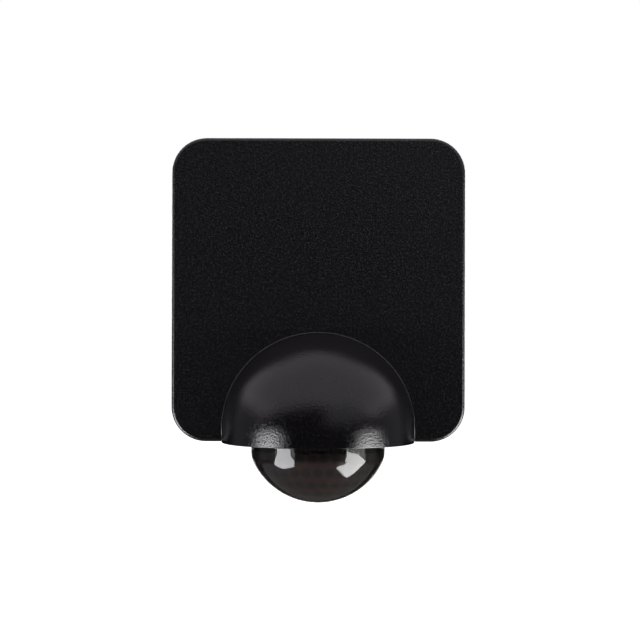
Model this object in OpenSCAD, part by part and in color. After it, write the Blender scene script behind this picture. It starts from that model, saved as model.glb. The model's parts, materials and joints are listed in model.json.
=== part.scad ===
// Wall-mounted motion detector with a square cover, a quarter-sphere hood and a hanging dome lens.
// The wall is the plane y = 0 and the front faces -Y. x = 0 and z = 0 are the middle of the cover.
// A depth, such as base_depth, is measured from the wall towards the front, so it lies at y = -depth.

/* [Cover] */
// Width of the front cover
cover_w = 113; // [112:0.5:118]
// Height of the front cover
cover_h = 116.9; // [116:0.1:122]
// Radius of the cover's four corners
cover_corner_r = 13.3; // [12:0.1:14]
// Radius of the rounded front edge
cover_edge_r = 1.3; // [0.8:0.1:1.8]
// Wall thickness of the cover
cover_wall = 2.2; // [2:0.1:2.4]
// Depth from the wall to the cover's front face
front_depth = 48; // [48:0.5:52]
// Depth from the wall to the cover's rear edge
cover_back = 6; // [5:0.5:8]
// Gap between the cover and the housing inside it
shell_gap = 0.6; // [0.5:0.1:0.8]

/* [Hood] */
// Outer radius of the quarter-sphere hood
hood_r = 37.1; // [36.8:0.1:37.6]
// Wall thickness of the hood
hood_wall = 2.2; // [2:0.1:2.3]
// Height of the hood's centre above the cover's lower edge
hood_rise = 4.9; // [4.5:0.1:5.5]
// How far the hood's rim reaches below the cover's lower edge
rim_drop = 0.2; // [0.1:0.1:0.5]
// Gap between the hood and the arch in the cover
arch_gap = 0.35; // [0.3:0.05:0.5]
// Radius of the flange that holds the hood on the deck
flange_r = 42.5; // [42:0.5:44]

/* [Lens] */
// Radius of the dome
lens_r = 27.2; // [27:0.1:27.4]
// Radius of the straight skirt above the dome
skirt_r = 25.45; // [25.2:0.05:25.6]
// How far the dome reaches below the cover's lower edge
lens_drop = 22.8; // [21:0.1:24]
// Distance of the lens axis in front of the cover's face
lens_forward = 6; // [5:0.1:6]
// Wall thickness of the lens
lens_wall = 1; // [0.8:0.1:1.2]

/* [Base] */
// Depth of the wall base
base_depth = 18; // [17.5:0.1:18]
// Thickness of the base's back wall
base_floor = 2.5; // [2.2:0.1:2.6]
// Wall thickness of the base and the housing tub
tub_wall = 2; // [1.8:0.1:2.2]
// Distance across between the wall screw holes
wall_screw_w = 84; // [80:1:84]
// Distance up between the wall screw holes
wall_screw_h = 86; // [82:1:88]
// Radius of a wall screw hole
wall_hole_r = 2.4; // [2:0.1:2.6]
// Distance between the two flush box screw slots
box_screw_w = 60; // [58:0.5:62]
// Half the width of a flush box screw slot
box_slot_r = 2.1; // [1.8:0.1:2.3]
// Length of a flush box screw slot
box_slot_l = 9; // [7:0.5:10]
// Radius of the cable hole in the rear grommet
rear_cable_r = 5; // [4:0.25:6]
// Radius of the cable hole in a bottom grommet
bottom_cable_r = 4.5; // [3.5:0.25:5]

/* [Controls] */
// Radius of a setting knob
knob_r = 6; // [5:0.25:6.5]
// Radius of a setting knob's shaft
knob_shaft_r = 3; // [2.5:0.1:3.2]
// Distance between neighbouring setting knobs
knob_pitch = 15; // [14.5:0.5:16]
// Distance of the switch and the button from the middle
side_control_x = 30; // [29:0.5:31]
// Travel of the mode switch to each side
switch_travel = 2; // [1.5:0.1:2]
// Travel of the test button
button_travel = 1; // [0.5:0.1:1.2]

/* [Hidden] */
$fn = 64;

// Colours
black_plastic = [0.11, 0.11, 0.12];
dark_plastic = [0.17, 0.17, 0.18];
grey_plastic = [0.45, 0.46, 0.48];
rubber = [0.07, 0.07, 0.07];
steel = [0.7, 0.71, 0.73];
brass = [0.8, 0.65, 0.3];
board_green = [0.08, 0.3, 0.16];
lens_black = [0.09, 0.07, 0.07];
clear_plastic = [0.85, 0.88, 0.9];
pale_plastic = [0.88, 0.88, 0.85];

// Room left between two pieces that touch, and how far a cutter reaches past its piece
touch_gap = 0.1;
cut = 1;

// Cover and housing outlines
cover_bottom = -cover_h / 2;
inner_w = cover_w - 2 * cover_wall;
inner_h = cover_h - 2 * cover_wall;
inner_corner_r = cover_corner_r - cover_wall;
tub_w = inner_w - 2 * shell_gap;
tub_h = inner_h - 2 * shell_gap;
tub_corner_r = inner_corner_r - shell_gap;
tub_bottom = -tub_h / 2;

// Depths of the layers behind the cover
tub_back = base_depth + 0.4;
tub_floor_front = tub_back + tub_wall;
tub_front = front_depth - 10.8;
seal_t = 0.8;
deck_back = tub_front + seal_t;
deck_t = 2;
deck_front = deck_back + deck_t;
board_t = 1.6;
board_back = deck_back - 3;
board_front = board_back + board_t;
cover_inside = front_depth - cover_wall;

// Hood
hood_z = cover_bottom + hood_rise;
rim_z = cover_bottom - rim_drop;
hood_inner_r = hood_r - hood_wall;
flange_t = 2;
flange_bottom = cover_bottom + cover_wall + 0.3;
hood_screw_angles = [20, 65, 115, 160];
hood_screw_circle_r = (hood_inner_r + flange_r) / 2 + 1;

// Floor of the hood, and the stack of pieces that holds the lens on it
floor_t = 2.5;
floor_top = tub_bottom - 0.05;
floor_bottom = floor_top - floor_t;
floor_back = tub_floor_front;
floor_front_r = hood_inner_r - 0.3;
floor_side = hood_r - 0.3;
tub_notch_x = 30;
lens_y = -(front_depth + lens_forward);
lens_bottom = cover_bottom - lens_drop;
dome_z = lens_bottom + lens_r;
dome_top = dome_z - sqrt(lens_r * lens_r - skirt_r * skirt_r);
lens_hole_r = skirt_r + 0.3;
lens_flange_r = 28;
gasket_t = 1;
lens_flange_t = 1.2;
ring_t = 2;
ring_bore_r = 21;
ring_r = lens_flange_r + 0.3;
ear_circle_r = 30.6;
ear_r = 2.6;
lens_flange_z = floor_top + gasket_t;
ring_z = lens_flange_z + lens_flange_t;
carrier_z = ring_z + ring_t;
carrier_t = 1.5;
carrier_r = 24;
sensor_board_z = carrier_z + carrier_t;
sensor_board_r = 22;
sensor_board_top = sensor_board_z + board_t;

// Sensors in the dome
column_r = 8.5;
column_bottom = dome_z - 10;
pyro_angles = [-75, 0, 75];
pyro_tilt = 20;
pyro_r = 4.5;
pyro_l = 4.2;
pyro_z = dome_z - 4.4;
pyro_window_w = 4.6;
pyro_window_h = 3.4;
pyro_window_t = 0.5;
guide_r = 1;
guide_z = dome_z - 8;
guide_back = -lens_y + 19.4;
guide_front = -lens_y + 23;
status_x = -4.2;
twilight_x = -0.5;

// Ribbon between the two boards
connector_w = 12;
connector_t = 4;
ribbon_w = 10;
ribbon_t = 0.8;
ribbon_back = board_front + touch_gap;
header_bottom = -8;
header_h = 4;

// Main board, its posts and its parts. A part's place is x and z: a box's middle across and lower edge, a disc's
// left face and axis, a can's axis. A box's size is its width, height and reach, a round part's its radius and length.
board_w = 84;
board_bottom = -10;
board_top = 50;
board_post_x = 38;
board_post_z = [12, 46];
board_post_r = 3;
relay_at = [22.5, 20];
relay_size = [19, 16, 14];
film_capacitor_at = [-22, 30];
film_capacitor_size = [18, 9, 12.5];
transformer_at = [-21, 9];
transformer_size = [18, 18, 13.6];
smoothing_at = [1, 15];
smoothing_size = [5, 13];
fuse_at = [16, 12];
fuse_size = [2.6, 12];
varistor_at = [-1, 28];
varistor_size = [5, 4];
pin_z = 42;
pin_pitch = 5.5;
pin_count = 4;
pin_t = 1;
pin_h = 4;

// Screws: shank radius, head radius and head height
deck_screw = [1.4, 3, 1.6];
module_screw = [1.7, 3.4, 2];
board_screw = [1.1, 2.4, 1.1];
hood_screw = [1.1, 2.1, 1.3];
floor_screw = [1.1, 2.1, 1.2];
ring_screw = [0.9, 1.8, 1.1];
lock_screw_size = [1.4, 2.2, 1.1];
screw_gap = 0.08;
deck_screw_x = 46.5;
deck_screw_z = 48;
module_screw_x = 46.5;
floor_screw_x = 33.3;
floor_screw_depth = 30;
lock_x = 41.4;
lock_depth = 12;
lock_z = cover_bottom + 0.05;

// Posts that locate the cover in the deck
cover_posts = [[-30, 44], [30, 44], [-47.5, -22], [47.5, -22]];
cover_post_r = 2.5;
cover_post_gap = 0.3;

// Terminals and contacts in the base
terminal_count = 5;
terminal_pitch = 7.4;
terminal_w = 38;
terminal_bottom = -10;
terminal_h = 16;
terminal_front = 15.5;
terminal_floor = base_floor + 1.5;
clamp_w = 5;
clamp_back = base_floor + 1.7;
clamp_front = 10;
clamp_bottom = -3;
clamp_h = 5.5;
clamp_z = clamp_bottom + clamp_h / 2;
wire_r = 1.6;
wire_depth = clamp_back + wire_r + 0.8;
terminal_screw = [1.2, 1.9, 1.8];
driver_hole_r = 2.1;
socket_w = 26;
socket_h = 10;
socket_front = 12.5;
contact_t = 0.6;
contact_slot_w = 2.6;

// Cable entries
rear_entry_z = 22;
rear_hole_r = 11;
bottom_entry_x = 22;
bottom_entry_depth = 10.2;
bottom_hole_r = 6;
grommet_gap = 0.1;
grommet_flange_t = 1.2;

// Controls
control_z = 0;
knob_back = deck_front + 0.3;
knob_front = knob_back + 3.7;
knob_slot_w = 1.2;
knob_slot_depth = 1.5;
pot_size = 10;
pot_back = board_back - 5;
pot_bore_depth = 3;
slider_w = 3;
slider_h = 2.8;
button_r = 3;

// ---------------------------------------------------------------- shapes

// A flat outline in x and z, extruded from one depth to another
module slab(from, to) {
    translate([0, -from, 0])
        rotate([90, 0, 0])
            linear_extrude(to - from)
                children();
}

// A cylinder along the depth
module rod(r, from, to, x = 0, z = 0) {
    translate([x, -from, z])
        rotate([90, 0, 0])
            cylinder(r = r, h = to - from);
}

// A box between two depths, given by its middle across, its lower edge and its size
module block(x, bottom, w, h, from, to) {
    translate([x - w / 2, -to, bottom])
        cube([w, to - from, h]);
}

module rounded_rect(w, h, r) {
    square([w - 2 * r, h], center = true);
    square([w, h - 2 * r], center = true);
    for (x = [-1, 1], z = [-1, 1])
        translate([x * (w / 2 - r), z * (h / 2 - r)])
            circle(r);
}

module housing_outline(inset = 0) {
    rounded_rect(tub_w - 2 * inset, tub_h - 2 * inset, tub_corner_r - inset);
}

// Half round above the hood's centre, straight below it
module arch(r, bottom) {
    translate([0, hood_z])
        circle(r, $fn = 128);
    translate([-r, bottom])
        square([2 * r, hood_z - bottom]);
}

// An arch with nothing below its lower edge
module cropped_arch(r, bottom) {
    intersection() {
        arch(r, bottom);
        translate([-r, bottom])
            square([2 * r, hood_z + r - bottom]);
    }
}

// A screw along the depth: the head's back lies at seat, and the shank ends at tip
module deep_screw(size, seat, tip, x, z) {
    difference() {
        union() {
            rod(size[0], tip, seat, x, z);
            rod(size[1], seat, seat + size[2], x, z);
        }
        cross_recess(size[1], seat + size[2], x, z);
    }
}

// Cross-shaped driver recess in a head whose face lies at depth front
module cross_recess(head_r, front, x, z) {
    arm = head_r * 1.1;
    arm_w = head_r * 0.28;
    sunk = 0.7;
    for (size = [[arm, arm_w], [arm_w, arm]])
        translate([x - size[0] / 2, -front - cut, z - size[1] / 2])
            cube([size[0], sunk + cut, size[1]]);
}

// A screw that points up: the head's top lies at seat, and the shank ends at tip
module upward_screw(size, seat, tip) {
    arm = size[1] * 1.1;
    arm_w = size[1] * 0.28;
    sunk = 0.6;
    difference() {
        union() {
            translate([0, 0, seat - size[2]])
                cylinder(r = size[1], h = size[2]);
            translate([0, 0, seat])
                cylinder(r = size[0], h = tip - seat);
        }
        for (recess = [[arm, arm_w], [arm_w, arm]])
            translate([-recess[0] / 2, -recess[1] / 2, seat - size[2] - cut])
                cube([recess[0], recess[1], sunk + cut]);
    }
}

// Mirrors a child to both sides
module both_sides() {
    for (side = [0, 1])
        mirror([side, 0, 0])
            children();
}

// ---------------------------------------------------------------- base

module box_slot(x) {
    half = box_slot_l / 2 - box_slot_r;
    for (side = [-1, 1])
        rod(box_slot_r, -cut, base_floor + cut, x + side * half, rear_entry_z);
    block(x, rear_entry_z - box_slot_r, 2 * half, 2 * box_slot_r, -cut, base_floor + cut);
}

module seal_ring(extra, from, to) {
    seal_inset = 5;
    seal_w = 2.6;
    slab(from, to)
        difference() {
            housing_outline(seal_inset - extra);
            housing_outline(seal_inset + seal_w + extra);
        }
}

module wall_bracket() {
    pad_r = 6;
    boss_r = 4;
    lock_boss_top = tub_bottom + 8;
    color(black_plastic)
        difference() {
            union() {
                difference() {
                    slab(0, base_depth)
                        housing_outline();
                    slab(base_floor, base_depth + cut)
                        housing_outline(tub_wall);
                }
                for (x = [-1, 1], z = [-1, 1])
                    rod(pad_r, base_floor - 0.5, base_floor + 1, x * wall_screw_w / 2, z * wall_screw_h / 2);
                both_sides()
                    rod(boss_r, base_floor - 0.5, base_depth, module_screw_x, 0);
                translate([lock_x, -lock_depth, tub_bottom + 0.5])
                    cylinder(r = 3.4, h = lock_boss_top - tub_bottom - 0.5);
            }
            for (x = [-1, 1], z = [-1, 1])
                rod(wall_hole_r, -cut, base_floor + 1 + cut, x * wall_screw_w / 2, z * wall_screw_h / 2);
            for (x = [-1, 1])
                box_slot(x * box_screw_w / 2);
            rod(rear_hole_r, -cut, base_floor + cut, 0, rear_entry_z);
            both_sides()
                rod(module_screw[0] + 0.3, 8, base_depth + cut, module_screw_x, 0);
            both_sides()
                translate([bottom_entry_x, -bottom_entry_depth, tub_bottom - cut])
                    cylinder(r = bottom_hole_r, h = tub_wall + 2 * cut);
            translate([lock_x, -lock_depth, tub_bottom - cut])
                cylinder(r = lock_screw_size[0] + screw_gap, h = lock_boss_top - tub_bottom);
            seal_ring(0.2, -cut, 1.5);
        }
}

module wall_seal() {
    color(rubber)
        seal_ring(0, 0, 1.4);
}

module rear_grommet() {
    color(rubber)
        difference() {
            union() {
                rod(rear_hole_r - grommet_gap, 0.3, base_floor, 0, rear_entry_z);
                rod(rear_hole_r + 1.5, base_floor, base_floor + grommet_flange_t, 0, rear_entry_z);
            }
            rod(rear_cable_r, -cut, base_floor + grommet_flange_t + cut, 0, rear_entry_z);
        }
}

module bottom_grommets() {
    inside = tub_bottom + tub_wall;
    color(rubber)
        both_sides()
            translate([bottom_entry_x, -bottom_entry_depth, 0])
                difference() {
                    union() {
                        translate([0, 0, tub_bottom])
                            cylinder(r = bottom_hole_r - grommet_gap, h = tub_wall);
                        translate([0, 0, inside])
                            cylinder(r = bottom_hole_r + 1.4, h = grommet_flange_t);
                        translate([0, 0, tub_bottom - grommet_flange_t])
                            cylinder(r = bottom_hole_r + 1.4, h = grommet_flange_t);
                    }
                    translate([0, 0, tub_bottom - grommet_flange_t - cut])
                        cylinder(r = bottom_cable_r, h = tub_wall + 2 * grommet_flange_t + 2 * cut);
                }
}

function terminal_x(i) = (i - (terminal_count - 1) / 2) * terminal_pitch;

module terminal_block() {
    pocket_gap = 0.2;
    color(pale_plastic)
        difference() {
            block(0, terminal_bottom, terminal_w, terminal_h, base_floor, terminal_front);
            for (i = [0 : terminal_count - 1]) {
                block(terminal_x(i), clamp_bottom - pocket_gap, clamp_w + 2 * pocket_gap, terminal_h,
                    terminal_floor, clamp_front + pocket_gap);
                rod(driver_hole_r, clamp_front - cut, terminal_front + cut, terminal_x(i), clamp_z);
            }
        }
}

module terminal_clamps() {
    color(brass)
        for (i = [0 : terminal_count - 1])
            difference() {
                block(terminal_x(i), clamp_bottom, clamp_w, clamp_h, clamp_back, clamp_front);
                translate([terminal_x(i), -wire_depth, clamp_bottom - cut])
                    cylinder(r = wire_r, h = clamp_h + 2 * cut);
                rod(terminal_screw[0] + screw_gap, clamp_front - 2.2, clamp_front + cut, terminal_x(i), clamp_z);
            }
}

module terminal_screws() {
    seat = clamp_front + 0.4;
    face = seat + terminal_screw[2];
    slot_w = 0.6;
    slot_sunk = 0.7;
    color(steel)
        for (i = [0 : terminal_count - 1])
            difference() {
                union() {
                    rod(terminal_screw[0], clamp_front - 2, seat, terminal_x(i), clamp_z);
                    rod(terminal_screw[1], seat, face, terminal_x(i), clamp_z);
                }
                block(terminal_x(i), clamp_z - slot_w / 2, 2 * terminal_screw[1] + cut, slot_w,
                    face - slot_sunk, face + cut);
            }
}

function pin_x(i) = (i - (pin_count - 1) / 2) * pin_pitch;

module contact_socket() {
    color(pale_plastic)
        difference() {
            block(0, pin_z - socket_h / 2, socket_w, socket_h, base_floor, socket_front);
            for (i = [0 : pin_count - 1])
                block(pin_x(i), pin_z - pin_h / 2 - 0.4, contact_slot_w, pin_h + 0.8,
                    terminal_floor, socket_front + cut);
        }
}

module socket_contacts() {
    color(brass)
        for (i = [0 : pin_count - 1])
            block(pin_x(i) - contact_slot_w / 2 + contact_t / 2, pin_z - pin_h / 2, contact_t, pin_h,
                terminal_floor, socket_front - 0.5);
}

// ---------------------------------------------------------------- housing

module housing_tub() {
    post_r = 3.5;
    boss_r = 4;
    floor_boss_h = 6;
    color(dark_plastic)
        difference() {
            union() {
                difference() {
                    slab(tub_back, tub_front)
                        housing_outline();
                    slab(tub_floor_front, tub_front + cut)
                        housing_outline(tub_wall);
                }
                for (x = [-1, 1], z = [-1, 1])
                    rod(post_r, tub_floor_front - 0.5, tub_front, x * deck_screw_x, z * deck_screw_z);
                both_sides() {
                    rod(boss_r, tub_floor_front - 0.5, tub_front, module_screw_x, 0);
                    for (z = board_post_z)
                        rod(board_post_r, tub_floor_front - 0.5, board_back, board_post_x, z);
                    translate([floor_screw_x, -floor_screw_depth, tub_bottom + 0.5])
                        cylinder(r = 2.9, h = floor_boss_h);
                }
            }
            for (x = [-1, 1], z = [-1, 1])
                rod(deck_screw[0] + screw_gap, 26, tub_front + cut, x * deck_screw_x, z * deck_screw_z);
            both_sides() {
                rod(module_screw[0] + 0.3, tub_back - cut, tub_front + cut, module_screw_x, 0);
                for (z = board_post_z)
                    rod(board_screw[0] + screw_gap, board_back - 8, board_back + cut, board_post_x, z);
                translate([floor_screw_x, -floor_screw_depth, tub_bottom - cut])
                    cylinder(r = floor_screw[0] + screw_gap, h = floor_boss_h + cut);
            }
            for (i = [0 : pin_count - 1])
                block(pin_x(i), pin_z - pin_h / 2 - 0.3, pin_t + 0.6, pin_h + 0.6,
                    tub_back - cut, tub_floor_front + cut);
            block(0, tub_bottom - cut, 2 * tub_notch_x, tub_wall + 2 * cut, floor_back + 0.4, tub_front + cut);
        }
}

// Holes of the deck that have nothing to do with the controls
module deck_bores() {
    for (x = [-1, 1], z = [-1, 1])
        rod(deck_screw[0] + 0.3, deck_back - cut, deck_front + cut, x * deck_screw_x, z * deck_screw_z);
    both_sides()
        rod(module_screw[0] + 0.3, deck_back - cut, deck_front + cut, module_screw_x, 0);
    for (post = cover_posts)
        rod(cover_post_r + cover_post_gap, deck_back - cut, deck_front + cut, post[0], post[1]);
}

module hood_screw_rods(r, from, to) {
    for (a = hood_screw_angles)
        rod(r, from, to, hood_screw_circle_r * cos(a), hood_z + hood_screw_circle_r * sin(a));
}

module control_deck() {
    boss_back = deck_back - 3.5;
    slot_l = slider_w + 2 * switch_travel + 0.6;
    color(dark_plastic)
        difference() {
            union() {
                slab(deck_back, deck_front)
                    housing_outline();
                hood_screw_rods(2.8, boss_back, deck_back + 0.5);
            }
            slab(deck_back - cut, deck_front + cut)
                arch(tub_notch_x, tub_bottom - cut);
            deck_bores();
            hood_screw_rods(hood_screw[0] + screw_gap, boss_back + 0.5, deck_front + cut);
            for (i = [-1 : 1])
                rod(knob_shaft_r + 0.5, deck_back - cut, deck_front + cut, i * knob_pitch, control_z);
            block(-side_control_x, control_z - slider_h / 2 - 0.3, slot_l, slider_h + 0.6,
                deck_back - cut, deck_front + cut);
            rod(button_r + 0.3, deck_back - cut, deck_front + cut, side_control_x, control_z);
        }
}

module deck_seal() {
    color(rubber)
        difference() {
            slab(tub_front, deck_back)
                difference() {
                    housing_outline(0.2);
                    housing_outline(tub_wall - 0.2);
                }
            block(0, tub_bottom - cut, 2 * tub_notch_x, tub_wall + 2 * cut, tub_front - cut, deck_back + cut);
        }
}

module deck_screws() {
    color(steel)
        for (x = [-1, 1], z = [-1, 1])
            deep_screw(deck_screw, deck_front, 27, x * deck_screw_x, z * deck_screw_z);
}

module module_screws() {
    color(steel)
        for (x = [-1, 1])
            deep_screw(module_screw, deck_front, 10, x * module_screw_x, 0);
}

// ---------------------------------------------------------------- hood and lens

// The hood's outside at a given radius: a tunnel, a quarter sphere in front of it and a straight rim below
module hood_solid(r, from, bottom) {
    slab(from, front_depth)
        cropped_arch(r, bottom);
    intersection() {
        translate([0, -front_depth, hood_z])
            sphere(r, $fn = 128);
        translate([-r - cut, -front_depth - r - cut, hood_z])
            cube([2 * (r + cut), r + cut, r + cut]);
    }
    intersection() {
        translate([0, -front_depth, bottom])
            cylinder(r = r, h = hood_z - bottom, $fn = 128);
        translate([-r - cut, -front_depth - r - cut, bottom - cut])
            cube([2 * (r + cut), r + cut, hood_z - bottom + 2 * cut]);
    }
}

module hood() {
    color(black_plastic)
        difference() {
            union() {
                hood_solid(hood_r, deck_front, rim_z);
                slab(deck_front, deck_front + flange_t)
                    cropped_arch(flange_r, flange_bottom);
            }
            hood_solid(hood_inner_r, deck_front - cut, rim_z - cut);
            hood_screw_rods(hood_screw[0] + 0.3, deck_front - cut, deck_front + flange_t + cut);
        }
}

module hood_screws() {
    color(steel)
        for (a = hood_screw_angles)
            deep_screw(hood_screw, deck_front + flange_t, deck_back - 2.8,
                hood_screw_circle_r * cos(a), hood_z + hood_screw_circle_r * sin(a));
}

// Places children at the three ears of the lens ring
module at_ears() {
    for (a = [0, 90, 180])
        translate([ear_circle_r * cos(a), lens_y + ear_circle_r * sin(a), 0])
            children();
}

// The floor's plan: a half disc in the hood, and behind it a plate that widens behind the deck
module floor_plan() {
    wing_front = deck_front - 0.2;
    intersection() {
        union() {
            translate([0, -front_depth])
                circle(floor_front_r, $fn = 128);
            translate([-floor_front_r, -front_depth])
                square([2 * floor_front_r, front_depth - floor_back]);
        }
        translate([-hood_r, -front_depth - hood_r])
            square([2 * hood_r, front_depth + hood_r - floor_back]);
    }
    translate([-floor_side, -wing_front])
        square([2 * floor_side, wing_front - floor_back]);
}

module hood_floor() {
    color(black_plastic)
        difference() {
            union() {
                translate([0, 0, floor_bottom])
                    linear_extrude(floor_t)
                        floor_plan();
                at_ears()
                    translate([0, 0, floor_top - 0.5])
                        cylinder(r = 2.2, h = ring_z - floor_top + 0.5);
            }
            translate([0, lens_y, floor_bottom - cut])
                cylinder(r = lens_hole_r, h = floor_t + 2 * cut, $fn = 128);
            at_ears()
                translate([0, 0, floor_bottom + 0.8])
                    cylinder(r = ring_screw[0] + screw_gap, h = ring_z - floor_bottom + cut);
            both_sides()
                translate([floor_screw_x, -floor_screw_depth, floor_bottom - cut]) {
                    cylinder(r = floor_screw[1] + 0.2, h = cut + floor_screw[2]);
                    cylinder(r = floor_screw[0] + 0.3, h = floor_t + 2 * cut);
                }
        }
}

module floor_screws() {
    color(steel)
        both_sides()
            translate([floor_screw_x, -floor_screw_depth, 0])
                upward_screw(floor_screw, floor_bottom + floor_screw[2], tub_bottom + 5);
}

module lens_seal() {
    color(rubber)
        translate([0, lens_y, floor_top])
            rotate_extrude($fn = 128)
                translate([lens_hole_r, 0])
                    square([lens_flange_r - lens_hole_r - 0.1, gasket_t]);
}

module fresnel_lens() {
    color(lens_black)
        translate([0, lens_y, 0])
            rotate_extrude($fn = 128) {
                intersection() {
                    translate([0, dome_z])
                        difference() {
                            circle(lens_r, $fn = 128);
                            circle(lens_r - lens_wall, $fn = 128);
                        }
                    translate([0, lens_bottom - cut])
                        square([skirt_r, dome_top - lens_bottom + cut]);
                }
                translate([skirt_r - lens_wall, dome_top])
                    square([lens_wall, lens_flange_z - dome_top + 0.1]);
                translate([skirt_r - lens_wall, lens_flange_z])
                    square([lens_flange_r - skirt_r + lens_wall, lens_flange_t]);
            }
}

module lens_ring() {
    color(dark_plastic)
        difference() {
            union() {
                translate([0, lens_y, ring_z])
                    cylinder(r = ring_r, h = ring_t, $fn = 128);
                at_ears()
                    translate([0, 0, ring_z])
                        cylinder(r = ear_r, h = ring_t);
            }
            translate([0, lens_y, ring_z - cut])
                cylinder(r = ring_bore_r, h = ring_t + 2 * cut, $fn = 128);
            at_ears()
                translate([0, 0, ring_z - cut])
                    cylinder(r = ring_screw[0] + 0.2, h = ring_t + 2 * cut);
        }
}

module ring_screws() {
    tip = floor_bottom + 1.2;
    color(steel)
        at_ears()
            translate([0, 0, carrier_z])
                rotate([180, 0, 0])
                    upward_screw(ring_screw, 0, carrier_z - tip);
}

// Places children on the axis of a sensor, with +Z pointing away from the column
module at_pyro(angle) {
    translate([0, lens_y, pyro_z])
        rotate([0, 0, angle])
            rotate([90 + pyro_tilt, 0, 0])
                translate([0, 0, column_r - 1.5])
                    children();
}

module guide_holes() {
    for (x = [status_x, twilight_x])
        translate([x, -guide_back, carrier_z - cut])
            cylinder(r = guide_r + 0.2, h = carrier_t + board_t + 2 * cut);
}

module sensor_carrier() {
    color(dark_plastic)
        difference() {
            union() {
                translate([0, lens_y, carrier_z])
                    cylinder(r = carrier_r, h = carrier_t);
                translate([0, lens_y, column_bottom])
                    cylinder(r = column_r, h = carrier_z - column_bottom + 0.5);
            }
            for (angle = pyro_angles)
                at_pyro(angle)
                    cylinder(r = pyro_r + 0.15, h = pyro_l + 4);
            guide_holes();
        }
}

module pyro_sensors() {
    color(steel)
        for (angle = pyro_angles)
            at_pyro(angle)
                difference() {
                    cylinder(r = pyro_r, h = pyro_l);
                    translate([-pyro_window_w / 2, -pyro_window_h / 2, pyro_l - pyro_window_t])
                        cube([pyro_window_w, pyro_window_h, pyro_window_t + cut]);
                }
}

module pyro_windows() {
    color([0.15, 0.14, 0.16])
        for (angle = pyro_angles)
            at_pyro(angle)
                translate([-pyro_window_w / 2, -pyro_window_h / 2, pyro_l - pyro_window_t])
                    cube([pyro_window_w, pyro_window_h, pyro_window_t]);
}

module sensor_board() {
    color(board_green)
        difference() {
            translate([0, lens_y, sensor_board_z])
                cylinder(r = sensor_board_r, h = board_t);
            guide_holes();
        }
}

// A chip that covers one light guide's hole from above
module guide_chip(x) {
    chip_size = [3, 3.4, 1];
    translate([x - chip_size[0] / 2, -guide_back - 1.2, sensor_board_top])
        cube(chip_size);
}

module status_led() {
    color([0.9, 0.25, 0.2])
        guide_chip(status_x);
}

module light_sensor() {
    color(clear_plastic)
        guide_chip(twilight_x);
}

// A clear rod that leads light down from the board and then forward to the lens
module light_guide(x) {
    color(clear_plastic) {
        translate([x, -guide_back, guide_z])
            cylinder(r = guide_r, h = sensor_board_top - 0.1 - guide_z);
        translate([x, -guide_back, guide_z])
            sphere(guide_r);
        rod(guide_r, guide_back, guide_front, x, guide_z);
    }
}

module status_light_guide() {
    light_guide(status_x);
}

module twilight_light_guide() {
    light_guide(twilight_x);
}

module head_connector() {
    color(pale_plastic)
        block(0, sensor_board_top, connector_w, connector_t, ribbon_back - 1.6, ribbon_back + 2.4);
}

module sensor_ribbon() {
    color(grey_plastic)
        block(0, sensor_board_top + connector_t, ribbon_w, header_bottom - sensor_board_top - connector_t,
            ribbon_back, ribbon_back + ribbon_t);
}

module ribbon_header() {
    color(pale_plastic)
        block(0, header_bottom, connector_w, header_h, board_front, board_front + 1.3);
}

// ---------------------------------------------------------------- electronics

module main_board() {
    color(board_green)
        difference() {
            block(0, board_bottom, board_w, board_top - board_bottom, board_back, board_front);
            for (x = [-1, 1], z = board_post_z)
                rod(board_screw[0] + 0.3, board_back - cut, board_front + cut, x * board_post_x, z);
            for (i = [-1 : 1])
                rod(knob_shaft_r + 0.3, board_back - cut, board_front + cut, i * knob_pitch, control_z);
        }
}

module board_screws() {
    color(steel)
        for (x = [-1, 1], z = board_post_z)
            deep_screw(board_screw, board_front, board_back - 7, x * board_post_x, z);
}

module plug_pins() {
    color(brass)
        for (i = [0 : pin_count - 1])
            block(pin_x(i), pin_z - pin_h / 2, pin_t, pin_h, base_floor + 2.5, board_back);
}

// A box on the back of the main board
module board_box(at, size) {
    block(at[0], at[1], size[0], size[1], board_back - size[2], board_back);
}

// A disc or tube that lies across the back of the main board
module board_roll(at, size) {
    translate([at[0], -(board_back - size[0] - 0.1), at[1]])
        rotate([0, 90, 0])
            cylinder(r = size[0], h = size[1]);
}

module relay() {
    color([0.12, 0.2, 0.42])
        board_box(relay_at, relay_size);
}

module film_capacitor() {
    color([0.75, 0.6, 0.2])
        board_box(film_capacitor_at, film_capacitor_size);
}

module smoothing_capacitor() {
    color([0.13, 0.13, 0.16])
        rod(smoothing_size[0], board_back - smoothing_size[1], board_back, smoothing_at[0], smoothing_at[1]);
}

module transformer() {
    color([0.7, 0.68, 0.5])
        board_box(transformer_at, transformer_size);
}

module fuse() {
    color([0.5, 0.35, 0.2])
        board_roll(fuse_at, fuse_size);
}

module varistor() {
    color([0.15, 0.3, 0.6])
        board_roll(varistor_at, varistor_size);
}

module potentiometers() {
    color(grey_plastic)
        for (i = [-1 : 1])
            difference() {
                block(i * knob_pitch, control_z - pot_size / 2, pot_size, pot_size, pot_back, board_back);
                rod(knob_shaft_r + 0.05, board_back - pot_bore_depth, board_back + cut,
                    i * knob_pitch, control_z);
            }
}

module mode_switch_body() {
    color(steel)
        block(-side_control_x, control_z - 2.5, 8, 5, board_front, board_front + 0.9);
}

module button_switch() {
    color(dark_plastic)
        block(side_control_x, control_z - 3, 6, 6, board_front, board_front + 0.4);
}

// ---------------------------------------------------------------- controls

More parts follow.
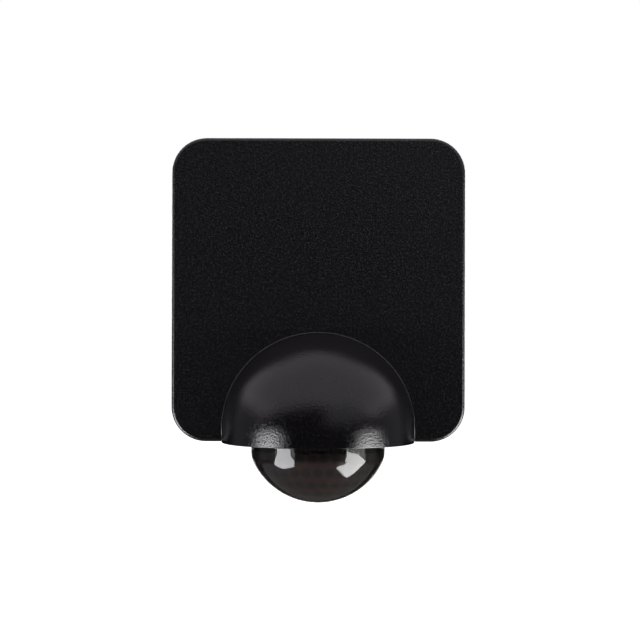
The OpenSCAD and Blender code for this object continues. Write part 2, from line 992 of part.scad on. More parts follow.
module knob(x) {
    shaft_back = board_back - pot_bore_depth + 0.3;
    color(pale_plastic)
        difference() {
            union() {
                rod(knob_r, knob_back, knob_front, x, control_z);
                rod(knob_shaft_r, shaft_back, knob_back + 0.2, x, control_z);
            }
            block(x, control_z - knob_slot_w / 2, 2 * knob_r + cut, knob_slot_w,
                knob_front - knob_slot_depth, knob_front + cut);
            rod(0.7, knob_front - 0.6, knob_front + cut, x, control_z + knob_r - 1.6);
        }
}

module time_knob() {
    knob(-knob_pitch);
}

module twilight_knob() {
    knob(0);
}

module range_knob() {
    knob(knob_pitch);
}

module mode_slider() {
    grip_w = 4;
    color(pale_plastic) {
        block(-side_control_x, control_z - slider_h / 2, slider_w, slider_h, board_front + 1, deck_front + 1.2);
        block(-side_control_x, control_z - slider_h / 2, grip_w, slider_h, deck_front + 0.3, deck_front + 1.6);
    }
}

module test_button() {
    lip_back = board_front + 0.4 + button_travel + 0.05;
    color([0.75, 0.2, 0.15])
        difference() {
            rod(button_r, lip_back, deck_front + 2, side_control_x, control_z);
            rod(button_r - 1, deck_front + 1.7, deck_front + 2 + cut, side_control_x, control_z);
        }
}

module lock_screw() {
    color(steel)
        translate([lock_x, -lock_depth, 0])
            upward_screw(lock_screw_size, lock_z + lock_screw_size[2], tub_bottom + 6.5);
}

// ---------------------------------------------------------------- cover

// A plate whose front edge is rounded all the way round
module rounded_front(w, h, r, edge_r, from, to) {
    slab(from, to - edge_r)
        rounded_rect(w, h, r);
    slab(from, to)
        rounded_rect(w - 2 * edge_r, h - 2 * edge_r, r - edge_r);
    for (x = [-1, 1])
        translate([x * (w / 2 - edge_r), -(to - edge_r), -(h / 2 - r)])
            cylinder(r = edge_r, h = h - 2 * r);
    for (z = [-1, 1])
        translate([-(w / 2 - r), -(to - edge_r), z * (h / 2 - edge_r)])
            rotate([0, 90, 0])
                cylinder(r = edge_r, h = w - 2 * r);
    for (x = [-1, 1], z = [-1, 1])
        translate([x * (w / 2 - r), -(to - edge_r), z * (h / 2 - r)])
            rotate([90, 0, 0])
                rotate_extrude()
                    translate([r - edge_r, 0])
                        circle(edge_r, $fn = 32);
}

module lock_slot() {
    slot_end = lock_depth + 0.2;
    for (part = [[lock_screw_size[0] + 0.25, cover_wall + cut], [lock_screw_size[1] + 0.3, 1.35]]) {
        block(lock_x, cover_bottom - cut, 2 * part[0], part[1] + cut, cover_back - cut, lock_depth);
        translate([lock_x, -slot_end + 0.2, cover_bottom - cut])
            cylinder(r = part[0], h = part[1] + cut);
    }
}

module front_cover() {
    color(black_plastic)
        difference() {
            union() {
                difference() {
                    rounded_front(cover_w, cover_h, cover_corner_r, cover_edge_r, cover_back, front_depth);
                    slab(cover_back - cut, cover_inside)
                        rounded_rect(inner_w, inner_h, inner_corner_r);
                }
                for (post = cover_posts)
                    rod(cover_post_r, deck_back + 0.4, cover_inside + 0.5, post[0], post[1]);
            }
            slab(cover_back - 2 * cut, front_depth + cut)
                arch(hood_r + arch_gap, cover_bottom - cut);
            lock_slot();
        }
}

wall_bracket();
wall_seal();
rear_grommet();
bottom_grommets();
terminal_block();
terminal_screws();
terminal_clamps();
contact_socket();
socket_contacts();
housing_tub();
control_deck();
deck_seal();
deck_screws();
module_screws();
hood();
hood_screws();
hood_floor();
floor_screws();
lens_seal();
fresnel_lens();
lens_ring();
ring_screws();
sensor_carrier();
pyro_sensors();
pyro_windows();
sensor_board();
status_led();
light_sensor();
status_light_guide();
twilight_light_guide();
head_connector();
sensor_ribbon();
ribbon_header();
main_board();
board_screws();
plug_pins();
relay();
film_capacitor();
smoothing_capacitor();
transformer();
fuse();
varistor();
potentiometers();
mode_switch_body();
button_switch();
time_knob();
twilight_knob();
range_knob();
mode_slider();
test_button();
lock_screw();
front_cover();
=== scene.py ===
"""Looks of a wall-mounted motion detector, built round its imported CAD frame.

Everything is in metres in the CAD's own frame: the wall is the plane y = 0, the front faces -Y and z = 0 is the
middle of the cover.
"""

import json
import math

import bmesh
import bpy
from mathutils import Matrix, Vector
from mathutils.kdtree import KDTree


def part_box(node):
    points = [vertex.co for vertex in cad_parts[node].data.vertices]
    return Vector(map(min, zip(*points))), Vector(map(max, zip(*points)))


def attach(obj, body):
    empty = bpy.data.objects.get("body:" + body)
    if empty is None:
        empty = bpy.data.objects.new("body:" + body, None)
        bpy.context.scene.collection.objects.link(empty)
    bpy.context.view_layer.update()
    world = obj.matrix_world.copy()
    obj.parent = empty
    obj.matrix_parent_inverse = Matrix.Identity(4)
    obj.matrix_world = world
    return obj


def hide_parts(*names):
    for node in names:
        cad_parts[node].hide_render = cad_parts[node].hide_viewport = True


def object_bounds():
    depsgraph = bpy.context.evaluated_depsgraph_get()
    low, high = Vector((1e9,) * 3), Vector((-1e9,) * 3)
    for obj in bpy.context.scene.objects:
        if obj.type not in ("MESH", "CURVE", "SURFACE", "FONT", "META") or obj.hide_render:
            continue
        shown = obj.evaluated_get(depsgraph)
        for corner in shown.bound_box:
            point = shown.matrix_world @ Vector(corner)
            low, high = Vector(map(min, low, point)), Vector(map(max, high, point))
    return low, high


MM = 0.001
TAU = 2 * math.pi

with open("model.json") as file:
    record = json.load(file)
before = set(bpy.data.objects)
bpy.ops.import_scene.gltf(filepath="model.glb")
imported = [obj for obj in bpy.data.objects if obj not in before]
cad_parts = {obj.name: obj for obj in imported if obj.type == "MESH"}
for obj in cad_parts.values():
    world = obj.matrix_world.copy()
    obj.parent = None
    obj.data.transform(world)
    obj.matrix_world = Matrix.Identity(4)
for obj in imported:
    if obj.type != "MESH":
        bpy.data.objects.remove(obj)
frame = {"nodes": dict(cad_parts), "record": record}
cad_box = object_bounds()
scene = bpy.context.scene

# Places taken from the CAD
cover_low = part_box("front_cover")[0]
hood_low, hood_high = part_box("hood")
lens_low, lens_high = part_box("fresnel_lens")
FACE_Y = cover_low.y
HOOD_R = FACE_Y - hood_low.y
HOOD_Z = hood_high.z - hood_high.x
LENS_Y = (lens_low.y + lens_high.y) / 2
LENS_FLANGE_R = lens_high.x
DECK_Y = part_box("control_deck")[0].y

# ---------------------------------------------------------------- camera

CAMERA_DISTANCE = 0.68
CAMERA_X = 0.00065
CAMERA_Z = -0.0116
CAMERA_FOCAL_MM = 99.4
CAMERA_SENSOR_MM = 36
CAMERA_ROLL_DEG = 0.15
CAMERA_NEAR = 0.01
CAMERA_FAR = 20


def make_camera():
    data = bpy.data.cameras.new("camera")
    data.lens = CAMERA_FOCAL_MM
    data.sensor_width = CAMERA_SENSOR_MM
    data.clip_start = CAMERA_NEAR
    data.clip_end = CAMERA_FAR
    camera = bpy.data.objects.new("camera", data)
    scene.collection.objects.link(camera)
    camera.location = (CAMERA_X, FACE_Y - CAMERA_DISTANCE, CAMERA_Z)
    level = Matrix.Rotation(math.radians(90), 4, "X")
    roll = Matrix.Rotation(math.radians(CAMERA_ROLL_DEG), 4, "Z")
    camera.rotation_euler = (level @ roll).to_euler()
    scene.camera = camera


make_camera()

# ---------------------------------------------------------------- materials

# Places of the colour sockets on a Mix node, which has others of the same names
MIX_COLOR_INPUTS = (6, 7)
MIX_COLOR_OUTPUT = 2


class Shader:
    """A Principled material with short calls for the texture nodes that every finish here is mixed from."""

    def __init__(self, name, color, roughness, **sockets):
        self.material = bpy.data.materials.new(name)
        self.material.use_nodes = True
        self.tree = self.material.node_tree
        self.bsdf = self.tree.nodes["Principled BSDF"]
        self.coords = self.node("ShaderNodeTexCoord").outputs["Object"]
        self.set(self.bsdf, "Base Color", (*color, 1))
        self.set(self.bsdf, "Roughness", roughness)
        for socket, value in sockets.items():
            self.set(self.bsdf, socket.replace("_", " "), value)

    def node(self, kind, **settings):
        made = self.tree.nodes.new(kind)
        for key, value in settings.items():
            setattr(made, key, value)
        return made

    def set(self, node, socket, value):
        if isinstance(value, bpy.types.NodeSocket):
            self.tree.links.new(value, node.inputs[socket])
        else:
            node.inputs[socket].default_value = value

    def stretched(self, scale):
        mapping = self.node("ShaderNodeMapping")
        self.set(mapping, "Vector", self.coords)
        self.set(mapping, "Scale", scale)
        return mapping.outputs["Vector"]

    def noise(self, size, detail=2.0, coords=None, distortion=0.0):
        """Noise whose features are about size metres wide."""
        node = self.node("ShaderNodeTexNoise")
        self.set(node, "Vector", coords or self.coords)
        self.set(node, "Scale", 1 / size)
        self.set(node, "Detail", detail)
        self.set(node, "Distortion", distortion)
        return node.outputs["Fac"]

    def distance_from_middle(self):
        """How far a point is from the plane x = 0."""
        split = self.node("ShaderNodeSeparateXYZ")
        self.set(split, "Vector", self.coords)
        away = self.node("ShaderNodeMath", operation="ABSOLUTE")
        self.set(away, 0, split.outputs["X"])
        return away.outputs["Value"]

    def spread(self, value, low, high, start=0.3, end=0.7):
        """Maps start..end of value to low..high."""
        node = self.node("ShaderNodeMapRange")
        self.set(node, "Value", value)
        for socket, number in (("From Min", start), ("From Max", end), ("To Min", low), ("To Max", high)):
            self.set(node, socket, number)
        return node.outputs["Result"]

    def blend(self, factor, first, second):
        """Goes from the first colour to the second as factor goes from 0 to 1."""
        node = self.node("ShaderNodeMix", data_type="RGBA")
        self.set(node, "Factor", factor)
        for index, value in zip(MIX_COLOR_INPUTS, (first, second)):
            self.set(node, index, value if isinstance(value, bpy.types.NodeSocket) else (*value, 1))
        return node.outputs[MIX_COLOR_OUTPUT]

    def bump(self, height, depth, below=None):
        """Adds a bump of that depth in metres, on top of another bump if one is given."""
        node = self.node("ShaderNodeBump")
        self.set(node, "Strength", 1.0)
        self.set(node, "Distance", depth)
        self.set(node, "Height", height)
        if below is not None:
            self.set(node, "Normal", below)
        self.set(self.bsdf, "Normal", node.outputs["Normal"])
        self.set(self.bsdf, "Coat Normal", node.outputs["Normal"])
        return node.outputs["Normal"]

    def rough(self, value):
        self.set(self.bsdf, "Roughness", value)

    def color(self, value):
        self.set(self.bsdf, "Base Color", value)


def scaled(color, factor):
    return tuple(min(1.0, channel * factor) for channel in color)


def grained_plastic(name, color, painted_sparkle, roughness, grain, depth, **sockets):
    """Moulded plastic with a spark-eroded grain: a cloudy black whose tiny bumped facets are also painted lighter, a
    painted sparkle standing in for light catching them. Grain is the facets' size, depth is how deep they are, and
    painted_sparkle is how much lighter the facets are painted than the colour."""
    shader = Shader(name, color, roughness, **sockets)
    cloud = shader.spread(shader.noise(12 * MM, 3), 0, 1)
    black = shader.blend(cloud, scaled(color, 0.85), scaled(color, 1.15))
    facets = shader.noise(grain, 3)
    # The facets are painted lighter than the black: a painted sparkle standing in for light glinting off the grain.
    shader.color(shader.blend(shader.spread(facets, 0, 1, 0.5, 0.66), black, scaled(color, painted_sparkle)))
    shader.rough(shader.spread(shader.noise(1.5 * MM, 5), roughness - 0.04, roughness + 0.04))
    shader.bump(facets, depth)
    return shader.material


def moulded_plastic(name, color, roughness):
    """Smooth technical plastic: soft flow marks, a little mottling and dull scuffs."""
    shader = Shader(name, color, roughness)
    flow = shader.noise(6 * MM, 4, shader.stretched((1, 1, 0.25)), 0.6)
    shader.color(shader.blend(shader.spread(flow, 0, 1), scaled(color, 0.88), scaled(color, 1.08)))
    shader.rough(shader.spread(shader.noise(3 * MM, 5), roughness - 0.06, roughness + 0.1))
    shader.bump(shader.noise(0.9 * MM, 2), 0.012 * MM)
    return shader.material


def rubber(name, color):
    """Matt rubber with pale dust in its pores."""
    shader = Shader(name, color, 0.7, Specular_IOR_Level=0.3)
    dust = shader.spread(shader.noise(4 * MM, 6), 0, 1, 0.45, 0.75)
    shader.color(shader.blend(dust, color, scaled(color, 2.4)))
    shader.rough(shader.spread(shader.noise(1 * MM, 3), 0.6, 0.85))
    shader.bump(shader.noise(0.6 * MM, 4), 0.03 * MM)
    return shader.material


def metal(name, color, roughness, brushed):
    """Plated metal with a little tarnish and fine scratches along the axis that brushed scales down."""
    shader = Shader(name, color, roughness, Metallic=1.0)
    tarnish = shader.spread(shader.noise(2.5 * MM, 6), 0, 1, 0.4, 0.8)
    shader.color(shader.blend(tarnish, color, scaled(color, 0.7)))
    lines = shader.noise(0.4 * MM, 3, shader.stretched(brushed))
    shader.rough(shader.spread(lines, roughness - 0.08, roughness + 0.14))
    shader.bump(lines, 0.006 * MM)
    return shader.material


TRACK_LENGTH = 9 * MM
TRACK_PITCH = 2.2 * MM
TRACK_GAP = 0.22 * MM


def circuit_board(name, color):
    """Green solder mask over raised copper tracks and planes, with the weave just showing."""
    shader = Shader(name, color, 0.32)
    brick = shader.node("ShaderNodeTexBrick", offset=0.35)
    turn = shader.node("ShaderNodeMapping")
    shader.set(turn, "Vector", shader.coords)
    shader.set(turn, "Rotation", (math.radians(90), 0, 0))
    shader.set(brick, "Vector", turn.outputs["Vector"])
    shader.set(brick, "Scale", 1.0)
    shader.set(brick, "Brick Width", TRACK_LENGTH)
    shader.set(brick, "Row Height", TRACK_PITCH)
    shader.set(brick, "Mortar Size", TRACK_GAP)
    copper = shader.spread(brick.outputs["Fac"], 1, 0, 0, 1)
    shader.color(shader.blend(copper, scaled(color, 0.75), scaled(color, 1.9)))
    shader.rough(shader.spread(shader.noise(2 * MM, 4), 0.25, 0.42))
    weave = shader.bump(shader.noise(0.6 * MM, 2), 0.01 * MM)
    shader.bump(copper, 0.035 * MM, weave)
    return shader.material


def dipped(name, color, roughness):
    """Dipped or cast coating with a soft orange-peel surface."""
    shader = Shader(name, color, roughness, Coat_Weight=0.4, Coat_Roughness=0.12)
    patches = shader.spread(shader.noise(3 * MM, 3), 0, 1)
    shader.color(shader.blend(patches, scaled(color, 0.8), scaled(color, 1.15)))
    shader.bump(shader.noise(1.4 * MM, 2), 0.05 * MM)
    return shader.material


WRAP_ROUGHNESS = 0.45
# A wave texture of scale 1 repeats about every 0.31 of a unit
WAVES_PER_UNIT = 3.2


def wrapped(name, color, pitch, axis):
    """Tape, cable or sleeve whose ridges repeat along an axis."""
    shader = Shader(name, color, WRAP_ROUGHNESS)
    wave = shader.node("ShaderNodeTexWave", wave_type="BANDS", bands_direction=axis, wave_profile="SIN")
    shader.set(wave, "Vector", shader.coords)
    shader.set(wave, "Scale", 1 / (pitch * WAVES_PER_UNIT))
    shader.set(wave, "Distortion", 0.3)
    shader.color(shader.blend(wave.outputs["Fac"], scaled(color, 0.6), color))
    shader.rough(shader.spread(shader.noise(2 * MM, 4), WRAP_ROUGHNESS - 0.08, WRAP_ROUGHNESS + 0.1))
    shader.bump(wave.outputs["Fac"], 0.12 * MM)
    return shader.material


def clear(name, color, roughness):
    """Clear moulded plastic with faint waves."""
    shader = Shader(name, color, roughness, Transmission_Weight=0.9, IOR=1.5)
    shader.rough(shader.spread(shader.noise(2 * MM, 3), roughness, roughness + 0.1))
    shader.bump(shader.noise(1.5 * MM, 2), 0.01 * MM)
    return shader.material


def lens_skin_material():
    """Polished infrared-passing plastic: almost black, and a little see-through over the lens cells."""
    shader = Shader("lens_skin", (0.016, 0.0135, 0.0125), 0.03, IOR=1.5, Alpha=0.56)
    shader.color(shader.blend(shader.noise(10 * MM, 3), (0.014, 0.0115, 0.0105), (0.02, 0.0165, 0.0155)))
    shader.rough(shader.spread(shader.noise(8 * MM, 5), 0.02, 0.05))
    shader.bump(shader.noise(4 * MM, 2), 0.003 * MM)
    return shader.material


# What the cells have where their colour nodes aren't read
CELL_PLAIN_COLOR = (0.05, 0.035, 0.03)
CELL_COLOR = (0.185, 0.16, 0.15)
GROOVE_RED = (0.37, 0.21, 0.165)
GROOVE_GREY = (0.25, 0.225, 0.215)
RED_FADE = (6 * MM, 17 * MM)


def lens_cell_material():
    """The array of lens cells behind the skin: darker in each cell, redder in the grooves in front of the sensors."""
    shader = Shader("lens_cells", CELL_PLAIN_COLOR, 0.35)
    groove = shader.node("ShaderNodeAttribute", attribute_name="groove").outputs["Fac"]
    side = shader.spread(shader.distance_from_middle(), 0, 1, *RED_FADE)
    shader.color(shader.blend(groove, CELL_COLOR, shader.blend(side, GROOVE_RED, GROOVE_GREY)))
    shader.rough(shader.spread(shader.noise(3 * MM, 3), 0.3, 0.45))
    return shader.material


BLACK = (0.0025, 0.0023, 0.0028)
HOUSING_BLACK = (0.014, 0.014, 0.0155)

finishes = {
    # The number after the colour sets how much lighter each grain's facets are painted, a painted sparkle.
    "cover_plastic": grained_plastic(
        "cover_plastic", BLACK, painted_sparkle=9, roughness=0.37, grain=0.8 * MM, depth=0.1 * MM,
    ),
    # The hood's black is painted 2.3 times lighter than the cover's: painted light that lifts the hood's dark lower
    # part.
    "hood_plastic": grained_plastic(
        "hood_plastic", scaled(BLACK, 2.3), painted_sparkle=2.2, roughness=0.13, grain=0.62 * MM, depth=0.1 * MM,
        Specular_IOR_Level=0.4,
    ),
    "housing_plastic": grained_plastic(
        "housing_plastic", HOUSING_BLACK, painted_sparkle=2.5, roughness=0.5, grain=0.8 * MM, depth=0.06 * MM,
    ),
    "inner_plastic": moulded_plastic("inner_plastic", (0.055, 0.055, 0.06), 0.45),
    "pale_plastic": moulded_plastic("pale_plastic", (0.62, 0.61, 0.57), 0.4),
    "button_plastic": moulded_plastic("button_plastic", (0.42, 0.05, 0.035), 0.28),
    "pot_grey": moulded_plastic("pot_grey", (0.2, 0.21, 0.22), 0.5),
    "clear_plastic": clear("clear_plastic", (0.86, 0.9, 0.92), 0.06),
    "led_red": clear("led_red", (0.8, 0.1, 0.07), 0.1),
    "rubber": rubber("rubber", (0.017, 0.017, 0.018)),
    "screw_steel": metal("screw_steel", (0.58, 0.58, 0.6), 0.3, (1, 1, 0.2)),
    "sensor_can": metal("sensor_can", (0.6, 0.57, 0.5), 0.28, (0.2, 1, 1)),
    "contact_brass": metal("contact_brass", (0.72, 0.52, 0.22), 0.3, (1, 0.2, 1)),
    "board": circuit_board("board", (0.02, 0.13, 0.055)),
    "dark_window": dipped("dark_window", (0.03, 0.028, 0.034), 0.1),
    "relay_blue": dipped("relay_blue", (0.02, 0.06, 0.2), 0.35),
    "capacitor_yellow": dipped("capacitor_yellow", (0.55, 0.36, 0.06), 0.3),
    "capacitor_sleeve": dipped("capacitor_sleeve", (0.02, 0.02, 0.04), 0.3),
    "varistor_blue": dipped("varistor_blue", (0.03, 0.12, 0.34), 0.3),
    "fuse_sleeve": wrapped("fuse_sleeve", (0.28, 0.14, 0.06), 1.2 * MM, "X"),
    "winding_tape": wrapped("winding_tape", (0.55, 0.44, 0.12), 1.8 * MM, "Z"),
    "ribbon_grey": wrapped("ribbon_grey", (0.36, 0.36, 0.37), 1.27 * MM, "X"),
    "lens_plastic": lens_skin_material(),
}
cell_finish = lens_cell_material()
# Painted highlight: the collar's plastic is far lighter than the black hood so that its fillet shows as a bright line
# along the arch.
highlight_line_finish = moulded_plastic("painted_highlight_edge", (0.05, 0.048, 0.051), 0.25)

# ---------------------------------------------------------------- CAD nodes that keep their shape

# Width of the rounded edges, in millimetres. What isn't listed has EDGE_MM.
EDGE_MM = 0.12
EDGES_MM = {
    "front_cover": 0.28, "hood": 0.3, "wall_bracket": 0.35, "housing_tub": 0.3, "control_deck": 0.3,
    "hood_floor": 0.25, "rear_grommet": 0.4, "bottom_grommets": 0.4, "relay": 0.4, "film_capacitor": 0.4,
    "smoothing_capacitor": 0.6, "transformer": 0.5, "varistor": 1.2, "test_button": 0.25, "mode_slider": 0.25,
    "terminal_block": 0.3, "contact_socket": 0.3, "sensor_carrier": 0.3, "pyro_sensors": 0.3, "lens_ring": 0.3,
    "head_connector": 0.2, "ribbon_header": 0.2, "fuse": 0.3,
    "module_screws": 0.2, "deck_screws": 0.2, "lock_screw": 0.15,
}
SHARP_DEG = 32
WELD = 0.002 * MM


def round_edges(obj, width):
    """Joins the mesh's split corners and rounds its sharp edges, without changing the mesh itself."""
    weld = obj.modifiers.new("weld", "WELD")
    weld.merge_threshold = WELD
    bevel = obj.modifiers.new("bevel", "BEVEL")
    bevel.width = width
    bevel.segments = 2
    bevel.limit_method = "ANGLE"
    bevel.angle_limit = math.radians(SHARP_DEG)
    normals = obj.modifiers.new("normals", "WEIGHTED_NORMAL")
    normals.keep_sharp = False


slots = {part["node"]: part["material_slot"] for part in frame["record"]["subparts"]}
for node_name, node in frame["nodes"].items():
    node.data.materials.clear()
    node.data.materials.append(finishes[slots[node_name]])
    round_edges(node, EDGES_MM.get(node_name, EDGE_MM) * MM)

# ---------------------------------------------------------------- mesh pieces


def make_piece(name, mesh, finish, body, slot, *replaced):
    obj = bpy.data.objects.new(name, mesh)
    scene.collection.objects.link(obj)
    mesh.materials.append(finish)
    for polygon in mesh.polygons:
        polygon.use_smooth = True
    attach(obj, body)
    if replaced:
        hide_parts(*replaced)


def skin(mesh, rows):
    """Faces from each row of vertices to the next. A row closes on itself, or is one vertex repeated."""
    for first, second in zip(rows, rows[1:]):
        for index in range(len(first)):
            after = (index + 1) % len(first)
            corners = list(dict.fromkeys((first[index], first[after], second[after], second[index])))
            if len(corners) > 2:
                mesh.faces.new(corners)


def as_data(mesh, name):
    """Turns the faces outwards and makes the mesh into a datablock."""
    bmesh.ops.recalc_face_normals(mesh, faces=mesh.faces)
    data = bpy.data.meshes.new(name)
    mesh.to_mesh(data)
    mesh.free()
    return data


ON_AXIS = 1e-7


def lathe(profile, steps, y):
    """A closed mesh turned about the vertical axis at depth y. The profile is (radius, z) from the outer top, down and
    round to the inner top."""
    mesh = bmesh.new()
    rings = []
    for radius, z in profile:
        if radius < ON_AXIS:
            rings.append([mesh.verts.new((0, y, z))] * steps)
            continue
        angles = [TAU * step / steps for step in range(steps)]
        rings.append([mesh.verts.new((radius * math.sin(a), y - radius * math.cos(a), z)) for a in angles])
    skin(mesh, rings + rings[:1])
    return as_data(mesh, "lathe")


# ---- lens

LENS_R = 27.2 * MM
SKIRT_R = 25.45 * MM
LENS_WALL = 0.3 * MM
FLANGE_T = 1.2 * MM
FLANGE_EDGE = 0.25 * MM
DOME_Z = lens_low.z + LENS_R
LENS_STEPS = 160
OUTER_STEPS = 44
INNER_STEPS = 30
# The turn from skirt to dome: its height on the skirt, its angle on the dome, and its points
TURN_RISE = 2.2 * MM
TURN_DEG = 5
TURN_STEPS = 12


def arc(center_z, radius, start_deg, end_deg, steps):
    """Points (radius, z) of a circle about the axis. 0 degrees points outwards and 90 down."""
    made = []
    for step in range(steps + 1):
        angle = math.radians(start_deg + (end_deg - start_deg) * step / steps)
        made.append((abs(radius * math.cos(angle)), center_z - radius * math.sin(angle)))
    return made


def skirt_turn(top, end_deg):
    """A soft curve from the skirt's bottom at z = top to the dome at end_deg, leaving both along their tangents."""
    end = math.radians(end_deg)
    end_r = LENS_R * math.cos(end)
    end_z = DOME_Z - LENS_R * math.sin(end)
    corner_z = end_z + (SKIRT_R - end_r) / math.tan(end)
    made = []
    for step in range(1, TURN_STEPS):
        t = step / TURN_STEPS
        near, middle, far = (1 - t) ** 2, 2 * t * (1 - t), t * t
        made.append(((near + middle) * SKIRT_R + far * end_r, near * top + middle * corner_z + far * end_z))
    return made


def lens_profile():
    """Flange, straight skirt, a soft turn into the dome, and the same one wall thickness further in."""
    meet_deg = math.degrees(math.acos(SKIRT_R / LENS_R))
    turn_top = DOME_Z - LENS_R * math.sin(math.radians(meet_deg)) + TURN_RISE
    turn_end_deg = meet_deg + TURN_DEG
    flange_top, flange_low = lens_high.z, lens_high.z - FLANGE_T
    outer = [
        (LENS_FLANGE_R - FLANGE_EDGE, flange_top), (LENS_FLANGE_R, flange_top - FLANGE_EDGE),
        (LENS_FLANGE_R, flange_low + FLANGE_EDGE), (LENS_FLANGE_R - FLANGE_EDGE, flange_low),
        (SKIRT_R + FLANGE_EDGE, flange_low), (SKIRT_R, flange_low - FLANGE_EDGE),
        (SKIRT_R, (flange_low + turn_top) / 2), (SKIRT_R, turn_top),
        *skirt_turn(turn_top, turn_end_deg), *arc(DOME_Z, LENS_R, turn_end_deg, 90, OUTER_STEPS),
    ]
    inner_r = SKIRT_R - LENS_WALL
    inner_dome_r = LENS_R - LENS_WALL
    inner_deg = math.degrees(math.acos(inner_r / inner_dome_r))
    inner = [
        *reversed(arc(DOME_Z, inner_dome_r, inner_deg, 90, INNER_STEPS)),
        (inner_r, flange_top - FLANGE_EDGE), (inner_r + FLANGE_EDGE, flange_top),
    ]
    outer[-1] = (0, outer[-1][1])
    inner[0] = (0, inner[0][1])
    return outer + inner


CELL_PITCH = 4.5 * MM
CELL_ROWS_DEG = [85.2, 71.9, 58.6, 45.3, 32.0, 18.7]
CELL_RISE = 0.15 * MM
CELL_LAYER_GAP = 0.05 * MM
CELL_LAYER_TOP_DEG = 15
CELL_LAYER_RIM = 0.4 * MM
# Where a cell's groove begins, as a share of its radius
GROOVE_START = 0.65
SPHERE_DETAIL = 6


def cell_centres(radius):
    """Directions of the lens cells: rows down the dome, each turned half a cell against the last."""
    centres = []
    for row, down_deg in enumerate(CELL_ROWS_DEG):
        down = math.radians(down_deg)
        count = round(TAU * math.cos(down) * radius / CELL_PITCH)
        for index in range(count):
            turn = TAU * (index + 0.5 * (row % 2)) / count
            centres.append(Vector((
                math.cos(down) * math.sin(turn), -math.cos(down) * math.cos(turn), -math.sin(down),
            )))
    return centres


def nearest_of(points):
    tree = KDTree(len(points))
    for index, point in enumerate(points):
        tree.insert(point, index)
    tree.balance()
    return tree


def lens_cells():
    """The inside of the dome as a layer of round lens cells, just behind the skin."""
    base_r = LENS_R - LENS_WALL - CELL_LAYER_GAP - CELL_RISE
    skirt_r = SKIRT_R - LENS_WALL - CELL_LAYER_GAP
    nearest = nearest_of(cell_centres(base_r))
    mesh = bmesh.new()
    bmesh.ops.create_icosphere(mesh, subdivisions=SPHERE_DETAIL, radius=1)
    top = math.sin(math.radians(CELL_LAYER_TOP_DEG))
    bmesh.ops.delete(mesh, geom=[v for v in mesh.verts if v.co.z > -top], context="VERTS")
    groove = mesh.verts.layers.float.new("groove")
    for vertex in mesh.verts:
        toward = vertex.co.normalized()
        _, _, distance = nearest.find(toward)
        spread = min(1.0, distance * base_r / (CELL_PITCH / 2))
        place = toward * (base_r + CELL_RISE * (1 - spread ** 2))
        fit = min(1, skirt_r / math.hypot(place.x, place.y)) if place.x or place.y else 1
        vertex.co = Vector((place.x * fit, place.y * fit + LENS_Y, place.z + DOME_Z))
        vertex[groove] = max(0.0, (spread - GROOVE_START) / (1 - GROOVE_START))
    rim = [edge for edge in mesh.edges if edge.is_boundary]
    extruded = bmesh.ops.extrude_edge_only(mesh, edges=rim)
    for item in extruded["geom"]:
        if isinstance(item, bmesh.types.BMVert):
            item.co.z += CELL_LAYER_RIM
            item[groove] = 1.0
    return as_data(mesh, "lens_cells")


make_piece(
    "lens_dome", lathe(lens_profile(), LENS_STEPS, LENS_Y), finishes["lens_plastic"], "sensor_module", "lens_plastic",
    "fresnel_lens",
)
make_piece("lens_cells", lens_cells(), cell_finish, "sensor_module", "lens_plastic")

# ---- collar round the hood

# It fills the gap in the cover's arch to within COLLAR_PLAY, with a hollow fillet in front. Its plastic is painted far
# lighter than the hood, a painted highlight line along the arch.
ARCH_GAP = 0.35 * MM
ARCH_STEPS = 96
COLLAR_PLAY = 0.1 * MM
COLLAR_SUNK = 0.1 * MM
COLLAR_DEPTH = 1.2 * MM
COLLAR_ROOT = 0.2 * MM
COLLAR_LIFT = 0.6 * MM
FILLET_STEPS = 6


def sweep(path, normals, profile):
    """A closed strip along an open path in x and z. The profile is (out along the normal, y) and closes on itself."""
    mesh = bmesh.new()
    rows = [
        [mesh.verts.new((x + n.x * out, y, z + n.y * out)) for out, y in profile]
        for (x, z), n in zip(path, normals)
    ]
    skin(mesh, rows)
    mesh.faces.new(rows[0])
    mesh.faces.new(rows[-1])
    return as_data(mesh, "sweep")


def arch_path(radius, bottom):
    """The hood's outline where it comes through the cover: up one side, over the top and down the other."""
    path = [(radius, bottom)]
    normals = [Vector((1, 0))]
    for step in range(ARCH_STEPS + 1):
        angle = math.pi * step / ARCH_STEPS
        normals.append(Vector((math.cos(angle), math.sin(angle))))
        path.append((radius * math.cos(angle), HOOD_Z + radius * math.sin(angle)))
    return path + [(-radius, bottom)], normals + [Vector((-1, 0))]


def collar_profile():
    reach = ARCH_GAP - COLLAR_PLAY
    front = FACE_Y + COLLAR_SUNK
    back = front + COLLAR_DEPTH
    angles = [math.radians(90 * step / FILLET_STEPS) for step in range(FILLET_STEPS + 1)]
    fillet = [(reach * (1 - math.cos(angle)), front + reach * (math.sin(angle) - 1)) for angle in angles]
    return [*fillet, (reach, back), (-COLLAR_ROOT, back), (-COLLAR_ROOT, front - reach)]


make_piece(
    "hood_collar", sweep(*arch_path(HOOD_R, cover_low.z + COLLAR_LIFT), collar_profile()), highlight_line_finish,
    "sensor_module", "hood_plastic",
)

# ---- knobs and their scales

FLUTES = 24
FLUTE_STEPS = 8
FLUTE_DEPTH = 0.2 * MM
FLUTE_MEAN = 0.35
GRIP_ROOT = 0.4 * MM
GRIP_LIP = 0.05 * MM
GRIP_SOFT = 0.15 * MM
GRIP_FRONT_INSET = 0.4 * MM
GRIP_BACK_INSET = 0.2 * MM
KNOB_LIFT = 0.3 * MM


